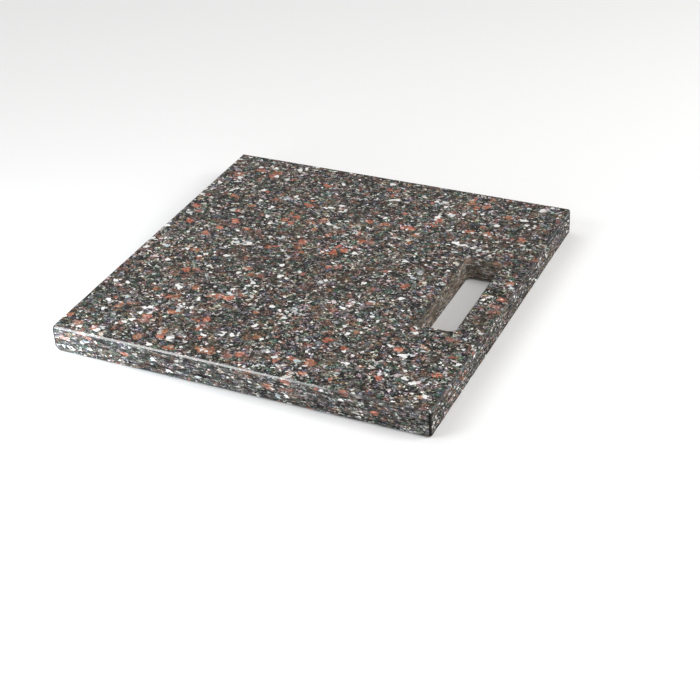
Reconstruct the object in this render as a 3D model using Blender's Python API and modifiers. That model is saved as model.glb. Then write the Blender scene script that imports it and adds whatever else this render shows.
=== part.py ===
"""A granite slab with a hand hole: one square of solid stone, sawn, cut through and eased along its edges.

+X points to the side with the hand hole, +Y to the back and +Z up. The origin is the middle of the
underside.
"""

import math

import bmesh
import bpy
from mathutils import Vector

# Driving dimensions, in metres.
SLAB_WIDTH = 0.305  # left side to right side
SLAB_DEPTH = 0.305  # front to back
SLAB_THICKNESS = 0.022
ARRIS_RADIUS = 0.0013  # every sawn edge is rubbed down to this radius, the rims of the hole too
HOLE_WIDTH = 0.030  # across the fingers
HOLE_LENGTH = 0.107  # along the knuckles
HOLE_CORNER_RADIUS = 0.0055  # left by the round cutter
GRIP_WIDTH = 0.022  # stone between the hole and the right side, which the hand closes on

# How finely the round stretches are faceted.
ARRIS_SEGMENTS = 4
HOLE_CORNER_SEGMENTS = 10
# The bevel profile that makes a circular arc.
ROUND_PROFILE = 0.5

# An edge sharper than this is an arris. The facets of the hole's round corners turn by far less.
ARRIS_ANGLE = math.radians(60)
SMOOTH_ANGLE = math.radians(35)
# How far the cutter stands out of each face of the slab.
CUTTER_OVERSHOOT = 0.010

# The average of the stone's grey, brown, white and red grains.
STONE_COLOUR = (0.105, 0.092, 0.085, 1.0)
STONE_ROUGHNESS = 0.35

# The hole is centred from front to back, and set in from the right side by the grip.
HOLE_CENTRE = Vector((SLAB_WIDTH / 2 - GRIP_WIDTH - HOLE_WIDTH / 2, 0.0, SLAB_THICKNESS / 2))


def clear_scene():
    for scene_object in list(bpy.data.objects):
        bpy.data.objects.remove(scene_object, do_unlink=True)


def new_collection(name):
    collection = bpy.data.collections.new(name)
    bpy.context.scene.collection.children.link(collection)
    return collection


def stone_material():
    material = bpy.data.materials.new("speckled_granite")
    material.use_nodes = True
    shader = material.node_tree.nodes["Principled BSDF"]
    shader.inputs["Base Color"].default_value = STONE_COLOUR
    shader.inputs["Roughness"].default_value = STONE_ROUGHNESS
    shader.inputs["Metallic"].default_value = 0.0
    return material


def add_block(name, size, collection):
    """A box primitive of the given size, centred on its own origin, with its scale applied."""
    mesh = bpy.data.meshes.new(name)
    shape = bmesh.new()
    bmesh.ops.create_cube(shape, size=1.0)
    bmesh.ops.scale(shape, vec=size, verts=shape.verts)
    shape.to_mesh(mesh)
    shape.free()
    block = bpy.data.objects.new(name, mesh)
    collection.objects.link(block)
    return block


def round_upright_edges(block, radius, segments):
    """Rounds the four edges of a block that run along Z."""
    shape = bmesh.new()
    shape.from_mesh(block.data)
    upright = []
    for edge in shape.edges:
        start, end = (vert.co for vert in edge.verts)
        if start.xy == end.xy:
            upright.append(edge)
    bmesh.ops.bevel(
        shape,
        geom=upright,
        offset=radius,
        offset_type="OFFSET",
        segments=segments,
        profile=ROUND_PROFILE,
        affect="EDGES",
    )
    shape.to_mesh(block.data)
    shape.free()


def make_hole_cutter(collection):
    """The shape that the round cutter sweeps out, standing proud of both faces of the slab."""
    height = SLAB_THICKNESS + 2 * CUTTER_OVERSHOOT
    cutter = add_block("hand_hole_cutter", (HOLE_WIDTH, HOLE_LENGTH, height), collection)
    round_upright_edges(cutter, HOLE_CORNER_RADIUS, HOLE_CORNER_SEGMENTS)
    cutter.location = HOLE_CENTRE
    cutter.hide_render = True
    cutter.display_type = "WIRE"
    return cutter


def make_slab(cutter, collection):
    """The slab: a sawn square, the hand hole cut through it, then every arris eased in one pass."""
    slab = add_block("granite_slab", (SLAB_WIDTH, SLAB_DEPTH, SLAB_THICKNESS), collection)
    slab.location.z = SLAB_THICKNESS / 2
    slab.data.materials.append(stone_material())

    cut = slab.modifiers.new("hand_hole", "BOOLEAN")
    cut.operation = "DIFFERENCE"
    cut.solver = "EXACT"
    cut.object = cutter

    ease = slab.modifiers.new("eased_arrises", "BEVEL")
    ease.width = ARRIS_RADIUS
    ease.segments = ARRIS_SEGMENTS
    ease.limit_method = "ANGLE"
    ease.angle_limit = ARRIS_ANGLE
    ease.use_clamp_overlap = True

    slab.data.shade_smooth()
    slab.data.set_sharp_from_angle(angle=SMOOTH_ANGLE)
    return slab


clear_scene()
cutters = new_collection("cutters")
parts = new_collection("granite_slab")
make_slab(make_hole_cutter(cutters), parts)
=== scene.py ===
"""A granite slab for leather work: one square of speckled stone with a hand hole, polished on both faces."""
import math
import random

import bmesh
import bpy
from mathutils import Matrix, Vector, noise


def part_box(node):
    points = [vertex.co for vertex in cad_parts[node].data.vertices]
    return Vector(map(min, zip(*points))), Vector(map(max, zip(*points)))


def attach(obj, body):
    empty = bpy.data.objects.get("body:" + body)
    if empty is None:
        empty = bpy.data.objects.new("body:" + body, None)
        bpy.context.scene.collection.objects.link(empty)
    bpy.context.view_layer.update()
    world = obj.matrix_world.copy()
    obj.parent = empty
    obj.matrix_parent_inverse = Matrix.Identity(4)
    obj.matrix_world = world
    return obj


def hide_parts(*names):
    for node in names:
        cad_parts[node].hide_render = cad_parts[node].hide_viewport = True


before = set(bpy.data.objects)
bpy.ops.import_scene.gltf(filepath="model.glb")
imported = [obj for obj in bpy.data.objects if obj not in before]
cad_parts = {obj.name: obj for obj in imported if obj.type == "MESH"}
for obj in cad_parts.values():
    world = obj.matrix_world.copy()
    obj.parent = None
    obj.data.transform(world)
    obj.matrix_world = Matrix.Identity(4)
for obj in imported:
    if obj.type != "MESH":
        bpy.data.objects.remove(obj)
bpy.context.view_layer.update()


# The camera stands off the slab's right front corner and looks down on it, held a little out of level.
# Every other view turns round the slab from here.
def place_camera(aim, distance, azimuth, elevation, roll, lens):
    flat = math.cos(elevation)
    back = Vector((math.sin(azimuth) * flat, -math.cos(azimuth) * flat, math.sin(elevation)))
    camera = bpy.data.objects.new("camera", bpy.data.cameras.new("camera"))
    camera.data.sensor_width = 36.0
    camera.data.lens = lens
    camera.data.clip_start = 0.05
    camera.data.clip_end = 20.0
    camera.rotation_mode = "QUATERNION"
    camera.rotation_quaternion = back.to_track_quat("Z", "Y") @ Matrix.Rotation(roll, 3, "Z").to_quaternion()
    camera.location = aim + back * distance
    bpy.context.scene.collection.objects.link(camera)
    bpy.context.scene.camera = camera


place_camera(
    aim=Vector((0.0552, -0.0728, 0.0)),
    distance=1.1354,
    azimuth=math.radians(26.34),
    elevation=math.radians(33.50),
    roll=math.radians(-3.07),
    lens=78.7,
)


# The stone itself, a dark grey-brown granite. Its fine ground is set with white feldspar flakes and bigger
# orange-red grains, and it runs on unbroken from the faces down the sides, where the grains lie drawn out
# and the honing wheel has left fine lines.
MM = 0.001
# The rim of a grain that ends sharply, for step_down.
CRISP = 0.003


def put(tree, kind, inputs=None, **settings):
    """Adds one shader node. Each input is a plain value, or another node's output to link."""
    made = tree.nodes.new("ShaderNode" + kind)
    for name, value in settings.items():
        setattr(made, name, value)
    for name, value in (inputs or {}).items():
        if isinstance(value, bpy.types.NodeSocket):
            tree.links.new(value, made.inputs[name])
        else:
            made.inputs[name].default_value = value
    return made


def sums(tree, operation, a, b, c=0.0):
    """One step of arithmetic on single numbers."""
    return put(tree, "Math", {0: a, 1: b, 2: c}, operation=operation).outputs[0]


def scaled(tree, value, slope, start=0.0):
    """Start, plus slope times value."""
    return sums(tree, "MULTIPLY_ADD", value, slope, start)


def blend(tree, share, under, over, how="MIX"):
    """Lays one colour over another."""
    layered = put(tree, "Mix", {0: share, 6: under, 7: over}, data_type="RGBA", blend_type=how)
    return layered.outputs[2]


def ramp(tree, value, stops, interpolation="LINEAR"):
    """Turns a number into a colour through stops of (place, colour)."""
    made = put(tree, "ValToRGB", {"Fac": value})
    made.color_ramp.interpolation = interpolation
    while len(made.color_ramp.elements) < len(stops):
        made.color_ramp.elements.new(1.0)
    for element, (place, colour) in zip(made.color_ramp.elements, stops):
        element.position = place
        element.color = (*colour, 1.0)
    return made.outputs["Color"]


def grey(shade):
    return (shade, shade, shade)


def step_down(tree, value, edge, softness):
    """1 where value is below edge and 0 above it, with a soft rim."""
    low = sums(tree, "SUBTRACT", edge, softness)
    high = sums(tree, "ADD", edge, softness)
    spread = {"Value": value, "From Min": low, "From Max": high, "To Min": 1.0, "To Max": 0.0}
    return put(tree, "MapRange", spread, interpolation_type="SMOOTHSTEP").outputs["Result"]


def soft_noise(tree, place, grain, detail=1.0):
    """A cloudy number between 0 and 1 whose clouds are about grain across, in mm."""
    wanted = {"Vector": place, "Scale": 1.0 / grain, "Detail": detail, "Roughness": 0.5}
    return put(tree, "TexNoise", wanted).outputs


def crystals(tree, place, grain):
    """Packed crystals about grain across, in mm: how far each point is from its crystal's heart, and three
    random numbers for each crystal."""
    cells = put(tree, "TexVoronoi", {"Vector": place, "Scale": 1.0 / grain, "Randomness": 1.0})
    chance = put(tree, "SeparateColor", {"Color": cells.outputs["Color"]})
    return cells.outputs["Distance"], chance.outputs[0], chance.outputs[1], chance.outputs[2]


def displaced(tree, place, grain, reach):
    """Place, pushed about by up to half of reach, in mm, so that straight crystal edges turn ragged."""
    cloud = soft_noise(tree, place, grain)["Color"]
    push = put(tree, "VectorMath", {0: cloud, 1: grey(0.5)}, operation="SUBTRACT").outputs[0]
    grown = put(tree, "VectorMath", {0: push, "Scale": reach}, operation="SCALE").outputs[0]
    return put(tree, "VectorMath", {0: place, 1: grown}, operation="ADD").outputs[0]


def millimetres(tree):
    """Each point's three distances from the middle of the slab's underside."""
    place = put(tree, "TexCoord").outputs["Object"]
    sized = put(tree, "VectorMath", {0: place, "Scale": 1.0 / MM}, operation="SCALE").outputs[0]
    return put(tree, "SeparateXYZ", {0: sized}).outputs


def stone_space(tree):
    """The slab's own millimetres, leant over with height, so that the grains show drawn out on the sides."""
    x, y, z = millimetres(tree)
    along = scaled(tree, z, slope=0.10, start=scaled(tree, x, slope=0.86))
    back = scaled(tree, z, slope=0.80, start=y)
    up = scaled(tree, z, slope=1.3)
    return put(tree, "CombineXYZ", {0: along, 1: back, 2: up}).outputs[0]


def make_grain():
    """The stone's pattern, shared by every finish: its colour, and how high each grain stands."""
    tree = bpy.data.node_groups.new("granite_grain", "ShaderNodeTree")
    tree.interface.new_socket("Colour", in_out="OUTPUT", socket_type="NodeSocketColor")
    tree.interface.new_socket("Relief", in_out="OUTPUT", socket_type="NodeSocketFloat")
    place = stone_space(tree)
    ragged = displaced(tree, place, grain=1.5, reach=1.6)
    lumpy = displaced(tree, ragged, grain=5.0, reach=4.0)

    # The ground: two sizes of fine grain, from near black to light grey, the finer one laid on further down.
    _, dark, _, _ = crystals(tree, ragged, grain=1.6)
    ground = ramp(tree, dark, (
        (0.00, (0.004, 0.005, 0.004)),
        (0.34, (0.014, 0.014, 0.012)),
        (0.58, (0.051, 0.045, 0.039)),
        (0.78, (0.124, 0.112, 0.101)),
        (0.91, (0.250, 0.232, 0.215)),
        (1.00, (0.510, 0.490, 0.465)),
    ))

    # Tinted crystals, bigger than the ground's: sea green, violet grey, brown, near black and pale grey.
    _, tint, cover, _ = crystals(tree, lumpy, grain=3.4)
    tint_colour = ramp(tree, tint, (
        (0.00, (0.046, 0.092, 0.074)),
        (0.18, (0.078, 0.086, 0.118)),
        (0.29, (0.170, 0.088, 0.060)),
        (0.62, (0.012, 0.013, 0.012)),
        (0.84, (0.190, 0.182, 0.176)),
    ), "CONSTANT")
    tinted = scaled(tree, step_down(tree, cover, edge=0.52, softness=0.05), slope=0.50)
    ground = blend(tree, tinted, ground, tint_colour)

    # The finer grain of the ground darkens or lightens both.
    _, fine, _, _ = crystals(tree, ragged, grain=0.85)
    fine_shade = ramp(tree, fine, ((0.0, grey(0.12)), (0.6, grey(0.96)), (1.0, grey(3.0))))
    ground = blend(tree, 1.0, ground, fine_shade, "MULTIPLY")

    # Soft stains a few millimetres across, a little redder, greener or bluer than the rest.
    cloud = soft_noise(tree, ragged, grain=5.5)["Color"]
    stain = put(tree, "VectorMath", {0: cloud, 1: grey(0.7), 2: grey(0.65)}, operation="MULTIPLY_ADD")
    ground = blend(tree, 1.0, ground, stain.outputs[0], "MULTIPLY")

    # Wide soft patches, where the ground turns darker or browner.
    patch = soft_noise(tree, place, grain=48.0, detail=2.0)["Fac"]
    shade = ramp(tree, patch, ((0.30, grey(0.80)), (0.70, grey(1.22))))
    ground = blend(tree, 1.0, ground, shade, "MULTIPLY")
    brown_cloud = soft_noise(tree, lumpy, grain=17.0, detail=2.0)["Fac"]
    brown = scaled(tree, step_down(tree, brown_cloud, edge=0.42, softness=0.10), slope=0.18)
    ground = blend(tree, brown, ground, (0.150, 0.095, 0.060, 1.0))

    # Orange-red feldspar: big grains with worn edges and dark specks of the ground showing through.
    heart, chance, size, hue = crystals(tree, lumpy, grain=6.4)
    gather = soft_noise(tree, place, grain=30.0)["Fac"]
    there = step_down(tree, chance, scaled(tree, gather, slope=0.36, start=-0.09), CRISP)
    reach = scaled(tree, size, slope=0.44, start=0.58)
    worn = scaled(tree, soft_noise(tree, place, grain=1.6)["Fac"], slope=0.60, start=heart)
    red = sums(tree, "MULTIPLY", step_down(tree, worn, reach, softness=0.09), there)
    specks = step_down(tree, fine, edge=0.66, softness=0.05)
    red = sums(tree, "MULTIPLY", red, scaled(tree, specks, slope=0.62, start=0.32))
    red_colour = ramp(tree, hue, (
        (0.00, (0.510, 0.144, 0.082)),
        (0.30, (0.400, 0.122, 0.072)),
        (0.55, (0.330, 0.130, 0.062)),
        (0.78, (0.250, 0.098, 0.072)),
        (1.00, (0.430, 0.190, 0.160)),
    ))
    mottle = ramp(tree, dark, ((0.0, (0.50, 0.42, 0.42)), (0.5, grey(1.0)), (1.0, (1.45, 1.90, 2.05))))
    red_colour = blend(tree, 1.0, red_colour, mottle, "MULTIPLY")
    colour = blend(tree, red, ground, red_colour)

    # White feldspar flakes and smaller crumbs, in loose clusters, some bluish, creamy or half clear.
    _, chance, _, hue = crystals(tree, lumpy, grain=3.1)
    gather = soft_noise(tree, place, grain=22.0)["Fac"]
    flake = step_down(tree, chance, scaled(tree, gather, slope=0.30, start=-0.115), CRISP)
    _, chance, _, _ = crystals(tree, ragged, grain=1.9)
    crumb = step_down(tree, chance, scaled(tree, gather, slope=0.10, start=-0.03), CRISP)
    flake = sums(tree, "MAXIMUM", flake, crumb)
    flake_colour = ramp(tree, hue, (
        (0.00, (0.820, 0.815, 0.800)),
        (0.45, (0.700, 0.690, 0.675)),
        (0.62, (0.400, 0.480, 0.500)),
        (0.75, (0.620, 0.560, 0.480)),
        (0.88, (0.300, 0.300, 0.330)),
        (1.00, (0.680, 0.560, 0.560)),
    ))
    colour = blend(tree, flake, colour, flake_colour)

    relief = scaled(tree, dark, slope=0.5, start=scaled(tree, flake, slope=0.5))
    out = tree.nodes.new("NodeGroupOutput")
    tree.links.new(colour, out.inputs["Colour"])
    tree.links.new(relief, out.inputs["Relief"])
    return tree


grain_pattern = make_grain()


def honing_lines(tree):
    """Fine lines and broader passes that the honing wheel leaves along a side, as shades round 1."""
    drawn_out = 0.14
    climb = 0.16
    x, y, z = millimetres(tree)
    along = scaled(tree, x, drawn_out)
    back = scaled(tree, y, drawn_out)
    across = scaled(tree, y, climb, start=z)
    lines = put(tree, "CombineXYZ", {0: along, 1: back, 2: across}).outputs[0]
    fine_noise = soft_noise(tree, lines, grain=1.1)["Fac"]
    broad_noise = soft_noise(tree, lines, grain=3.6)["Fac"]
    fine = ramp(tree, fine_noise, ((0.32, grey(0.42)), (0.68, grey(1.72))))
    passes = ramp(tree, broad_noise, ((0.30, grey(0.72)), (0.70, grey(1.30))))
    return blend(tree, 1.0, fine, passes, "MULTIPLY")


def finish_stone(name, haze, haze_colour, roughness, ior, spread=0.10, relief=0.004, coat=0.0, lined=False):
    """One finish of the stone. Haze is how much one plain colour is laid over the grain: the surface's own
    paler scatter on the honed sides, painted shade in near black on the arrises and upright corners, and in
    the hole a paler cut surface together with painted light. Spread is how much the roughness changes from
    grain to grain, and relief how far the grains stand up, in mm."""
    material = bpy.data.materials.new(name)
    material.use_nodes = True
    tree = material.node_tree
    shader = tree.nodes["Principled BSDF"]
    stone = put(tree, "Group", node_tree=grain_pattern)
    colour = blend(tree, haze, stone.outputs["Colour"], haze_colour)
    if lined:
        colour = blend(tree, 1.0, colour, honing_lines(tree), "MULTIPLY")
    tree.links.new(colour, shader.inputs["Base Color"])
    rough = scaled(tree, stone.outputs["Relief"], slope=-spread, start=roughness)
    tree.links.new(rough, shader.inputs["Roughness"])
    bump = put(tree, "Bump", {"Height": stone.outputs["Relief"], "Distance": relief * MM, "Strength": 1.0})
    tree.links.new(bump.outputs[0], shader.inputs["Normal"])
    shader.inputs["IOR"].default_value = ior
    shader.inputs["Coat Weight"].default_value = coat
    shader.inputs["Coat Roughness"].default_value = 0.15
    return material


# The slab, one piece of natural granite: sawn square and cut through for the hand with a round cutter,
# polished on both faces and honed on its sides. Every arris is eased by hand to a narrow flat, so it runs a
# little uneven, with small nicks and rubbed corners.
ARRIS = 1.3 * MM
# The flat's width wanders by this share of it, this many times a metre.
ARRIS_UNEVEN = 0.18
ARRIS_WANDERS = 60
# Where the wandering is read for each face: so far apart that the two don't match.
WANDER_HEIGHT = 11.0
# The small radius between the flat and the stone either side of it.
ARRIS_SOFTNESS = 0.4 * MM
CORNER_RADIUS = 1.6 * MM
HOLE_SIZE = Vector((30 * MM, 107 * MM))
HOLE_CORNER = 5.5 * MM
GRIP = 22 * MM
NICKS_ON_AN_ARRIS = 9
# Rubbed corners: left or right, front or back, bottom or top, and the radius in mm.
WORN_CORNERS = (
    (-1, -1, 1, 2.4),
    (-1, -1, -1, 3.4),
    (1, -1, -1, 2.2),
    (-1, 1, -1, 2.6),
    (1, 1, -1, 2.0),
)
# Where the mesh has its points: how far apart round an outline, how far in on a face beside the arris, and
# how far down a wall below it.
POINT_SPACING = 0.8 * MM
FACE_ROWS = (4.0 * MM, 3.0 * MM, 2.2 * MM)
WALL_ROWS = (2.2 * MM, 3.0 * MM, 4.2 * MM, 6.0 * MM, 8.5 * MM)
low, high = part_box("granite_slab")
SIZE = high - low
HOLE_CENTRE = Vector((high.x - GRIP - HOLE_SIZE.x / 2, 0.0))
POLISHED, EASED, HONED, CORNER, CUT = range(5)


def outline(half, corner):
    """Points round a rectangle with round corners, anticlockwise, each with its outward direction."""
    found = []
    quarter_turn = math.radians(90)
    turns = max(4, round(corner * quarter_turn / POINT_SPACING))
    for quarter in range(4):
        turn = Matrix.Rotation(quarter * quarter_turn, 2)
        reach = half if quarter % 2 == 0 else half.yx
        centre = Vector((reach.x - corner, reach.y - corner))
        for step in range(turns + 1):
            angle = step / turns * quarter_turn
            out = Vector((math.cos(angle), math.sin(angle)))
            found.append((turn @ centre, turn @ out, corner))
        count = max(2, round(2 * centre.x / POINT_SPACING))
        for step in range(1, count):
            middle = Vector((centre.x - 2 * centre.x * step / count, centre.y))
            found.append((turn @ middle, turn @ Vector((0.0, 1.0)), corner))
    return found


def section_rows(width):
    """The rows of points from a face, over the eased arris and down the wall: (inset, depth, finish)."""
    rows = [(inset, 0.0, POLISHED) for inset in FACE_ROWS]
    slant = math.radians(45)
    facets = 3
    start = width + ARRIS_SOFTNESS * math.tan(slant / 2)
    curve = []
    for step in range(facets + 1):
        angle = step / facets * slant
        curve.append((start - ARRIS_SOFTNESS * math.sin(angle), ARRIS_SOFTNESS * (1 - math.cos(angle))))
    flat = [(width * share, width * (1 - share)) for share in (0.68, 0.50, 0.32)]
    for step, (inset, depth) in enumerate(curve + flat + [(depth, inset) for inset, depth in curve[::-1]]):
        rows.append((inset, depth, EASED if step else POLISHED))
    rows += [(0.0, depth, HONED) for depth in WALL_ROWS]
    return rows


def arris_width(base, upside):
    """How wide the flat is at one place on an outline."""
    spot = Vector((base.x, base.y, upside * WANDER_HEIGHT)) * ARRIS_WANDERS
    return ARRIS * (1 + ARRIS_UNEVEN * noise.noise(spot))


def rim(shape, points, centre, inward):
    """Skins one wall of the slab from its top face to its underside. Inward is -1 round the outside, where
    the stone lies inside the outline, and +1 round the hole, where it lies outside."""
    rings = []
    for upside in (1, -1):
        for row in range(len(section_rows(ARRIS))):
            ring = []
            for base, out, corner in points:
                inset, depth, _ = section_rows(arris_width(base, upside))[row]
                place = base + out * (corner + inward * inset)
                if inward < 0 and inset > corner:
                    # So far in, the outline's corner has closed to a point.
                    limit = SIZE.xy / 2 - Vector((inset, inset))
                    round_place = base + out * corner
                    place.x = max(-limit.x, min(limit.x, round_place.x))
                    place.y = max(-limit.y, min(limit.y, round_place.y))
                height = high.z - depth if upside > 0 else low.z + depth
                ring.append(shape.verts.new((place.x + centre.x, place.y + centre.y, height)))
            rings.append(ring)
    half = len(rings) // 2
    rings = rings[:half] + rings[half:][::-1]
    finishes = [finish for _, _, finish in section_rows(ARRIS)]
    finishes = finishes[1:] + [HONED] + finishes[1:][::-1]
    least_bend = 0.01
    for upper, lower, finish in zip(rings, rings[1:], finishes):
        for k in range(len(upper)):
            after = (k + 1) % len(upper)
            corners = (upper[k], lower[k], lower[after], upper[after])
            face = shape.faces.new(corners if inward < 0 else corners[::-1])
            bent = points[k][1].cross(points[after][1]) > least_bend
            # Faces on the bends of the outside outline take the corner finish, painted dark as shade; the
            # hole's walls take the cut finish, painted paler as light.
            if finish == HONED and inward > 0:
                face.material_index = CUT
            elif finish == HONED and bent:
                face.material_index = CORNER
            else:
                face.material_index = finish


def close_flat_faces(shape):
    """Fills each face between its outside ring and the hole's ring."""
    hair = 0.001 * MM
    for height in (high.z, low.z):
        open_edges = [edge for edge in shape.edges if edge.is_boundary]
        edges = [edge for edge in open_edges if abs(edge.verts[0].co.z - height) < hair]
        made = bmesh.ops.triangle_fill(shape, edges=edges, use_beauty=True, normal=(0.0, 0.0, 1.0))
        for item in made["geom"]:
            if isinstance(item, bmesh.types.BMFace):
                item.material_index = POLISHED


def nick_arrises(shape, seed):
    """Knocks small shell-shaped flakes off the arrises, each the dent that a ball would leave."""
    dice = random.Random(seed)
    balls = []
    for upside in (1, -1):
        for side in range(4):
            turn = Matrix.Rotation(side * math.radians(90), 3, "Z")
            for _ in range(NICKS_ON_AN_ARRIS):
                along = dice.uniform(-0.5, 0.5) * SIZE.x
                size = dice.uniform(1.0, 2.6) * MM
                bite = dice.uniform(0.02, 0.20) * MM + ARRIS / math.sqrt(2)
                away = Vector((1.0, 0.0, upside)).normalized() * (size - bite)
                edge = Vector((SIZE.x / 2, along, high.z if upside > 0 else low.z))
                balls.append((turn @ (edge + away), size))
    for vert in shape.verts:
        for ball, size in balls:
            if abs(vert.co.x - ball.x) < size and abs(vert.co.y - ball.y) < size:
                gap = vert.co - ball
                if gap.length < size:
                    vert.co = ball + gap.normalized() * size


def wear_corner(shape, across, back, upside, radius):
    """Rubs one corner round."""
    corner = Vector((across * SIZE.x / 2, back * SIZE.y / 2, high.z if upside > 0 else low.z))
    heart = corner - Vector((across, back, upside)) * radius
    for vert in shape.verts:
        gap = vert.co - heart
        if min(gap.x * across, gap.y * back, gap.z * upside) > 0.0 and gap.length > radius:
            vert.co = heart + gap.normalized() * radius


def build_slab():
    shape = bmesh.new()
    rim(shape, outline(SIZE.xy / 2, CORNER_RADIUS), Vector((0.0, 0.0)), inward=-1)
    rim(shape, outline(HOLE_SIZE / 2, HOLE_CORNER), HOLE_CENTRE, inward=1)
    bmesh.ops.remove_doubles(shape, verts=shape.verts, dist=0.02 * MM)
    close_flat_faces(shape)
    nick_arrises(shape, seed=4)
    for across, back, upside, radius in WORN_CORNERS:
        wear_corner(shape, across, back, upside, radius * MM)
    bmesh.ops.recalc_face_normals(shape, faces=shape.faces)
    mesh = bpy.data.meshes.new("granite_slab_stone")
    shape.to_mesh(mesh)
    shape.free()
    mesh.shade_smooth()
    slab = bpy.data.objects.new("granite_slab_stone", mesh)
    bpy.context.scene.collection.objects.link(slab)
    return slab


slab = build_slab()
pale = (0.126, 0.130, 0.130, 1.0)
# Near black, laid over the arrises and upright corners as painted shade for the dark lines along them,
# beyond the darker look of their polish.
dark = (0.006, 0.006, 0.005, 1.0)
# Pale brown laid over the hole's walls: the paler look of a sawn cut, together with painted light that
# brightens the walls.
cut_scatter_and_painted_light = (0.250, 0.212, 0.175, 1.0)
finishes = {
    POLISHED: finish_stone("polished_granite", haze=0.0, haze_colour=pale, roughness=0.26, ior=1.52),
    # The eased arrises are laid half way to near black: painted shade along them, on top of the darker look
    # of polished stone.
    EASED: finish_stone("eased_arris_painted_shade_granite", haze=0.52, haze_colour=dark, roughness=0.22, ior=1.52,
                        spread=0.06, coat=1.0),
    HONED: finish_stone("honed_granite", haze=0.25, haze_colour=pale, roughness=0.50, ior=1.03,
                        relief=0.010, lined=True),
    # The upright corners are laid almost wholly with near black: painted shade, a dark line down each, more
    # than their polish alone would give.
    CORNER: finish_stone("polished_corner_painted_shade_granite", haze=0.92, haze_colour=dark, roughness=0.20, ior=1.20,
                         spread=0.06),
    # The hole's walls are laid with pale brown: a paler cut surface, and painted light that brightens them.
    CUT: finish_stone("cut_granite_painted_light", haze=0.40, haze_colour=cut_scatter_and_painted_light, roughness=0.55, ior=1.06,
                      relief=0.010, lined=True),
}
for _, finish in sorted(finishes.items()):
    slab.data.materials.append(finish)
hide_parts("granite_slab")
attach(slab, "root")


# The studio: a plain pale floor under two big soft lights, with four smaller ones round the slab. The one at
# the front left draws the bright line along the front arris, the one at the right the line on that side, and
# the low one brightens the left end of the front.
def build_floor():
    mesh = bpy.data.meshes.new("studio_floor")
    shape = bmesh.new()
    bmesh.ops.create_grid(shape, x_segments=1, y_segments=1, size=6.0)
    shape.to_mesh(mesh)
    shape.free()
    floor = bpy.data.objects.new("studio_floor", mesh)
    material = bpy.data.materials.new("studio_floor")
    material.use_nodes = True
    shader = material.node_tree.nodes["Principled BSDF"]
    shader.inputs["Base Color"].default_value = (*grey(0.86), 1.0)
    shader.inputs["Roughness"].default_value = 0.9
    mesh.materials.append(material)
    bpy.context.scene.collection.objects.link(floor)
    return floor


def soft_light(name, place, aim, size, power, colour=(1.0, 1.0, 1.0)):
    """A square light of size metres and power watts."""
    light = bpy.data.objects.new(name, bpy.data.lights.new(name, "AREA"))
    light.data.shape = "SQUARE"
    light.data.size = size
    light.data.energy = power
    light.data.color = colour
    light.location = place
    light.rotation_mode = "QUATERNION"
    light.rotation_quaternion = (Vector(place) - Vector(aim)).to_track_quat("Z", "Y")
    bpy.context.scene.collection.objects.link(light)


build_floor()
soft_light("right_overhead_softbox", place=(1.7, 0.1, 1.75), aim=(0.0, 0.0, 0.0), size=1.6, power=42.0,
           colour=(1.0, 0.985, 0.97))
soft_light("left_overhead_softbox", place=(-1.5, 0.5, 2.2), aim=(-0.2, 0.2, 0.0), size=2.0, power=22.5)
soft_light("front_left_softbox", place=(-0.47, -0.62, 0.62), aim=(-0.12, -0.12, 0.0), size=0.36, power=2.8)
soft_light("right_softbox", place=(0.95, 0.50, 0.42), aim=(0.15, 0.05, 0.0), size=0.34, power=2.1)
soft_light("front_softbox", place=(0.4, -1.4, 0.5), aim=(0.0, 0.0, 0.0), size=0.8, power=3.4,
           colour=(0.90, 0.96, 1.0))
soft_light("low_left_softbox", place=(-0.25, -0.28, 0.06), aim=(-0.12, -0.15, 0.01), size=0.12, power=0.75,
           colour=(0.86, 0.94, 1.0))
world = bpy.data.worlds.new("studio")
world.use_nodes = True
world.node_tree.nodes["Background"].inputs["Color"].default_value = (*grey(1.0), 1.0)
world.node_tree.nodes["Background"].inputs["Strength"].default_value = 0.25
bpy.context.scene.world = world
bpy.context.scene.view_settings.view_transform = "Standard"
